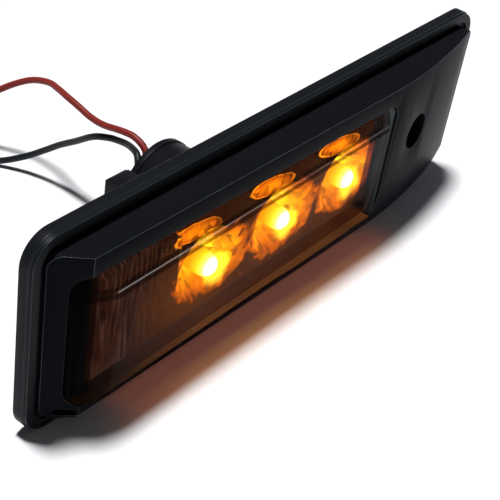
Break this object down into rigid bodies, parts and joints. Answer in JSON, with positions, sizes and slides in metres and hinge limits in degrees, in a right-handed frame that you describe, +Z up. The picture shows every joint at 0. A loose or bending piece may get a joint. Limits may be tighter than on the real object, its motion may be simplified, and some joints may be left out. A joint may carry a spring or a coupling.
{
  "type": "side repeater lamp",
  "caption": "Long flat indicator lamp for a car's front wing: black bezel with one screw hole, smoked lens over round amber lights, rubber gasket, rear wire holder with short leads",
  "frame": {"origin": "the middle of the gasket's back face, in the plane where the lamp meets the body panel", "axes": "+X along the lamp towards its screw end, +Y into the panel, +Z up; the lens faces -Y"},
  "size_m": [0.14, 0.096, 0.043],
  "materials": {
    "bezel_plastic": "satin moulded black",
    "gasket_rubber": "matte",
    "smoked_lens": "clear gloss, smoked",
    "reflector_film": "bright metal film on moulded plastic",
    "housing_plastic": "fine moulded texture",
    "screw_steel": "zinc plated",
    "board_laminate": "satin lacquer",
    "amber_epoxy": "clear gloss amber",
    "chip_black": "satin",
    "cream_nylon": "satin",
    "brass": "satin",
    "sheath_red": "satin vinyl",
    "sheath_black": "satin vinyl"
  },
  "bodies": {
    "root": {"bezel": "bezel_plastic", "panel_gasket": "gasket_rubber", "lens_seal": "gasket_rubber", "holder_seal": "gasket_rubber", "wire_seal": "gasket_rubber", "lens": "smoked_lens", "reflector": "reflector_film", "rear_housing": "housing_plastic", "bulb_holder": "housing_plastic", "housing_screws": "screw_steel", "board_screws": "screw_steel", "led_board": "board_laminate", "led_left": "amber_epoxy", "led_middle": "amber_epoxy", "led_right": "amber_epoxy", "resistors": "chip_black", "polarity_diode": "chip_black", "wedge_base": "cream_nylon", "contact_positive": "brass", "contact_negative": "brass", "terminal_red": "brass", "terminal_black": "brass", "wire_red": "sheath_red", "sleeve_red": "sheath_red", "wire_black": "sheath_black", "sleeve_black": "sheath_black"}
  },
  "joints": []
}
